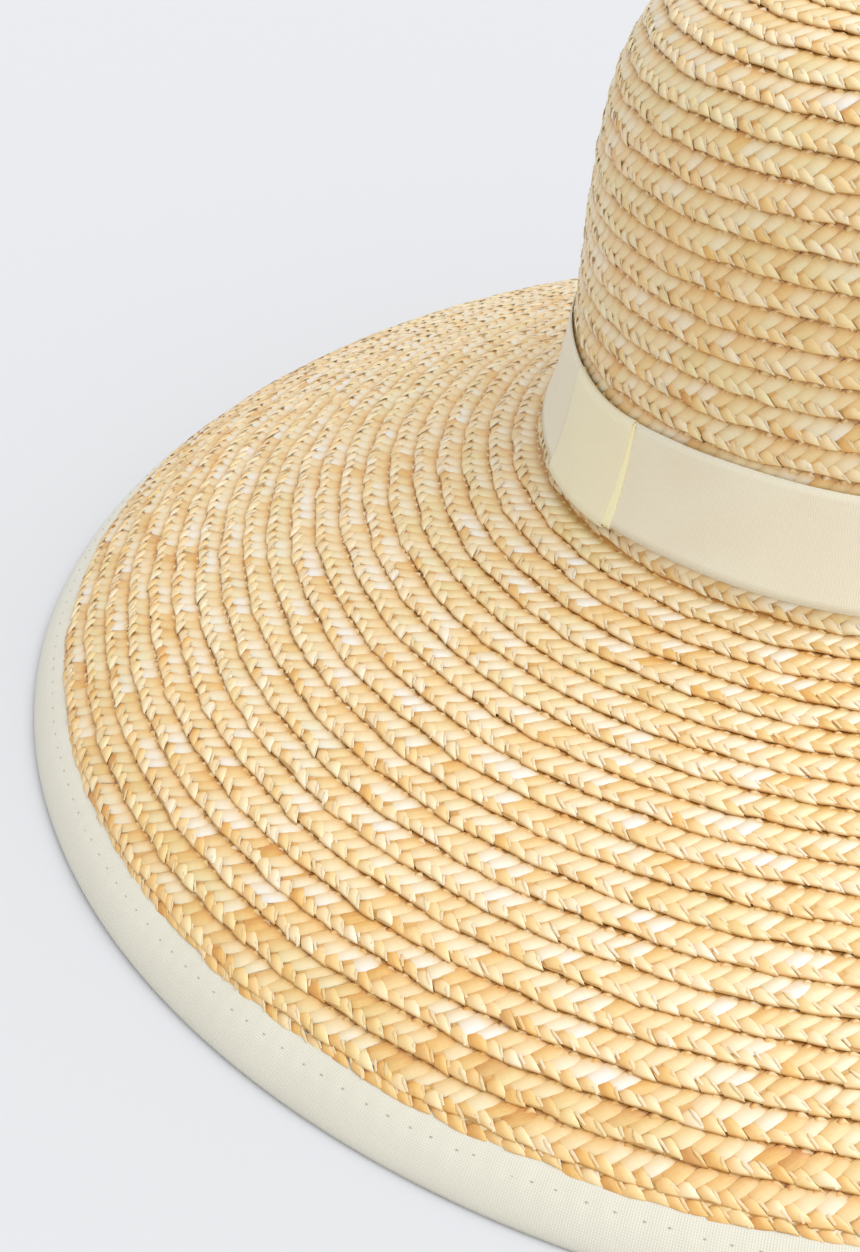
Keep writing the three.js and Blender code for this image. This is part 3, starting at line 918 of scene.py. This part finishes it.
keeper = folded_ribbon("ribbon_keeper", KEEPER_START, KEEPER_END, KEEPER_FACE, KEEPER_ABOVE, KEEPER_BELOW,
                       KEEPER_LEAN, keeper_ribbon)
keeper_underlay = folded_ribbon("keeper_underlay", UNDERLAY_START, UNDERLAY_END, UNDERLAY_FACE,
                                UNDERLAY_ABOVE, UNDERLAY_BELOW, UNDERLAY_LEAN, underlay_ribbon)

# %% [markdown]
# ## The binding and its stitches
# One long ribbon is folded over the rim and stitched through, and the hat stands on its fold. The line
# below is the ribbon's section: out along the top, round the fold and back underneath. Each stitch pulls
# the ribbon down into a dimple with a pucker beside it, and in every dimple a short bit of grey thread
# shows. A bump map could fake the dimples, but the low light along the rim would give that away.

# %% Binding folded over the brim's edge
BINDING_LINE = [
    (129.4, -0.4), (130.6, -0.25), (131.8, 0.05), (133.0, 0.38), (134.2, 0.6), (135.4, 0.8),
    (137.0, 0.98), (139.0, 1.02), (140.6, 0.95), (142.0, 0.75), (143.0, 0.35), (143.7, -0.35),
    (143.0, -1.05), (142.0, -1.4), (139.0, -1.5), (135.0, -1.5), (131.5, -1.45), (128.6, -1.35),
]
BINDING_MIDDLE = 139.0
STITCH_SPACING = 5.5
STITCH_LINE = 134.6
STITCH_LIFT = 0.66
RIM_GIRTH = 1395.0
RIM_RADIUS = RIM_GIRTH / (2 * math.pi)
STITCHES = int(RIM_GIRTH / STITCH_SPACING)
ANGLES_PER_STITCH = 5
BINDING_THICKNESS = 0.5
FAR_FROM_STITCH = 9.0
DIMPLE_DEPTH = 0.16
PUCKER_HEIGHT = 0.05
SLOW_HEIGHT = 0.12


def brim_binding():
    """The folded ribbon. Its hidden inner side keeps every other point of its section."""
    angles = np.linspace(0, 2 * math.pi, ANGLES_PER_STITCH * STITCHES, endpoint=False)[:, None]
    outline, across = ribbon_outline(BINDING_LINE, BINDING_THICKNESS)
    kept = np.r_[0:len(BINDING_LINE), len(BINDING_LINE):len(outline):2]
    outline = outline[kept]
    across = across[kept]
    upper = outline[None, :, 1] > 0
    from_stitch = np.where(upper, outline[None, :, 0] - STITCH_LINE, FAR_FROM_STITCH)
    phase = angles * STITCHES
    dimple = -DIMPLE_DEPTH * near(from_stitch, 0, 0.8) * (0.5 + 0.5 * np.cos(phase))
    pucker = PUCKER_HEIGHT * np.cos(phase + 2) * near(from_stitch, 0, 3.0)
    slow = SLOW_HEIGHT * np.sin(17 * angles + 0.3) * np.sin(6 * angles)
    wave = dimple + pucker + slow * near(outline[None, :, 0], BINDING_MIDDLE, 4.0)
    cloth = (angles * RIM_RADIUS, across[None], 0)
    return new_ribbon("ribbon_binding", outline, cloth, angles, wave, binding_ribbon, True)


binding = brim_binding()

# %% Stitches of the binding
def binding_stitches():
    """The short bits of thread that show on the binding, one at every dimple."""
    along = np.array([-0.36, -0.18, 0.18, 0.36])[None, :, None]
    thick = np.array([0.03, 0.12, 0.12, 0.03])[None, :, None]
    round_angle = np.array([0.0, 0.5, 1.0, 1.5])[None, None, :] * math.pi
    middle = np.arange(STITCHES)[:, None, None] * 2 * math.pi / STITCHES
    stray = rng.normal(0, 0.12, (STITCHES, 1, 1))
    way = CROWN_LENGTH + STITCH_LINE + stray + thick * np.cos(round_angle)
    lift = STITCH_LIFT + RIBBON_THICKNESS / 2 + thick * np.sin(round_angle) + 0 * middle
    points = on_hat(way + 0 * along, middle + (along + 4 * stray) / RIM_RADIUS + 0 * lift, lift)
    rows = along.size
    corners = round_angle.size
    one = facing_out(points[0], tube_faces(rows, corners, False))
    quads = (one[None] + rows * corners * np.arange(STITCHES)[:, None, None]).reshape(-1, 4)
    cloth = np.stack([along + 0 * lift, 3 * lift, 5.5 * middle + 0 * lift], axis=-1)
    return new_piece("binding_stitches", points, quads, {"cloth": cloth}, thread)


stitches = binding_stitches()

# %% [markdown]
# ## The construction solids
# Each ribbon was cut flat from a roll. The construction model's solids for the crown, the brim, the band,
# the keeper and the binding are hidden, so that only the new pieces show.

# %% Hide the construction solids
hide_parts("crown")
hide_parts("brim")
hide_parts("hat_band")
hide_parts("band_keeper")
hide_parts("brim_binding")

# %% [markdown]
# ## Floor and light
# The photo is bright and soft. The sky is brighter towards the front right than towards the left, which
# leaves the left side of the binding a little greyer than its front. Area lamps could do that too, but a
# sky that slopes from bright to less bright is simpler and has no edges. A wide sun from the right gives
# the floats their white gleam and puts a thin shadow under each row. The floor is matt pale paint, with
# nearly the same brightness all over and no reflection of the hat.

# %% Floor, sky and sun
FLOOR_COLOUR = "#CBCCCE"
SKY_STRENGTH = 0.91
SKY_SLOPE = (0.44, -0.28, 0.28)
SKY_LEAST = 0.74
SUN_STRENGTH = 1.16
SUN_SPREAD = 40.0
SUN_FROM = (0.55, 0.1, 1.0)
SKY_COLOUR = "#FBFBFD"
FLOOR_HALF = 6.0


def add_floor():
    """A square of painted floor, twelve metres wide."""
    mesh = bpy.data.meshes.new("floor")
    corners = [(x * FLOOR_HALF, y * FLOOR_HALF, 0) for x, y in ((-1, -1), (1, -1), (1, 1), (-1, 1))]
    mesh.from_pydata(corners, [], [(0, 1, 2, 3)])
    material, tree = new_material("painted_studio_floor")
    shader = add_node(tree, "ShaderNodeBsdfPrincipled", None,
                      {"Base Color": linear(FLOOR_COLOUR), "Roughness": 0.95, "Specular IOR Level": 0.2})
    add_node(tree, "ShaderNodeOutputMaterial", None, None, {"Surface": shader.outputs[0]})
    mesh.materials.append(material)
    floor = bpy.data.objects.new("floor", mesh)
    bpy.context.scene.collection.objects.link(floor)


def add_light():
    """The sloping sky and the wide sun."""
    world = bpy.data.worlds.new("studio")
    world.use_nodes = True
    tree = world.node_tree
    sky = tree.nodes["Background"]
    sky.inputs["Color"].default_value = linear(SKY_COLOUR)
    way = add_node(tree, "ShaderNodeTexCoord")
    lean = add_node(tree, "ShaderNodeVectorMath", {"operation": "DOT_PRODUCT"}, {1: SKY_SLOPE},
                    {0: way.outputs["Generated"]})
    strength = add_node(tree, "ShaderNodeMath", {"operation": "ADD"}, {1: SKY_STRENGTH},
                        {0: lean.outputs["Value"]})
    kept = add_node(tree, "ShaderNodeMath", {"operation": "MAXIMUM"}, {1: SKY_LEAST},
                    {0: strength.outputs[0]})
    tree.links.new(kept.outputs[0], sky.inputs["Strength"])
    bpy.context.scene.world = world
    data = bpy.data.lights.new("broad_sun", "SUN")
    data.energy = SUN_STRENGTH
    data.angle = math.radians(SUN_SPREAD)
    sun = bpy.data.objects.new("broad_sun", data)
    sun.matrix_world = Vector(SUN_FROM).to_track_quat("Z", "Y").to_matrix().to_4x4()
    bpy.context.scene.collection.objects.link(sun)


add_floor()
add_light()
view_settings = bpy.context.scene.view_settings
view_settings.view_transform = "Standard"
view_settings.look = "None"
print("sun of strength", SUN_STRENGTH, "over", SUN_SPREAD, "degrees")
